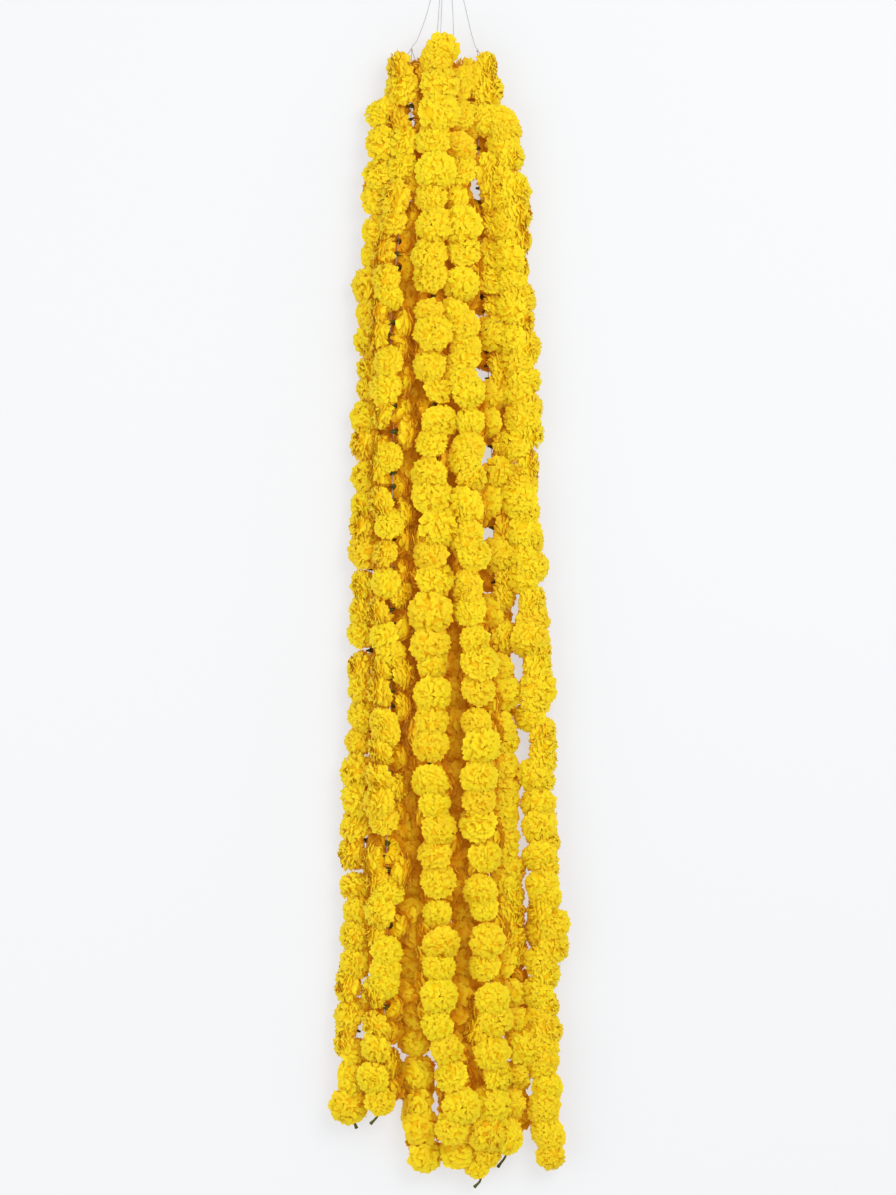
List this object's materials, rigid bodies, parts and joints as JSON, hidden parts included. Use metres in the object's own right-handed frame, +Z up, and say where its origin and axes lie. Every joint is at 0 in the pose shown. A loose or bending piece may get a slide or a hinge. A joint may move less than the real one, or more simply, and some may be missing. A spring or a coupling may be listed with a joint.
{
  "type": "marigold garland",
  "caption": "Bundle of yellow marigold strings laid flat on a surface, ruffled flower heads packed along thin threads that run together into one knot.",
  "frame": {"origin": "on the surface, under the middle of the bundle of flowers, threads and knot left out", "axes": "+Y along the strings towards the knot, +X to the right seen from above with the knot at the top, +Z up"},
  "size_m": [0.3038, 1.6669, 0.0896],
  "materials": {
    "petals": "matte",
    "thread": "matte",
    "stalk": "satin",
    "dry_stalk": "matte"
  },
  "bodies": {
    "root": {"string_1_blossoms": "petals", "string_2_blossoms": "petals", "string_3_blossoms": "petals", "string_4_blossoms": "petals", "string_5_blossoms": "petals", "string_6_blossoms": "petals", "string_7_blossoms": "petals", "string_8_blossoms": "petals", "string_1_thread": "thread", "string_2_thread": "thread", "string_3_thread": "thread", "string_4_thread": "thread", "string_5_thread": "thread", "string_6_thread": "thread", "string_7_thread": "thread", "string_8_thread": "thread", "left_tie_knot": "thread", "right_tie_knot": "thread", "hanging_knot": "thread", "hanging_loop": "thread", "string_1_stalk": "stalk", "string_2_stalk": "stalk", "string_6_stalk": "stalk", "string_7_stalk": "stalk", "dry_stalk": "dry_stalk"}
  },
  "joints": []
}
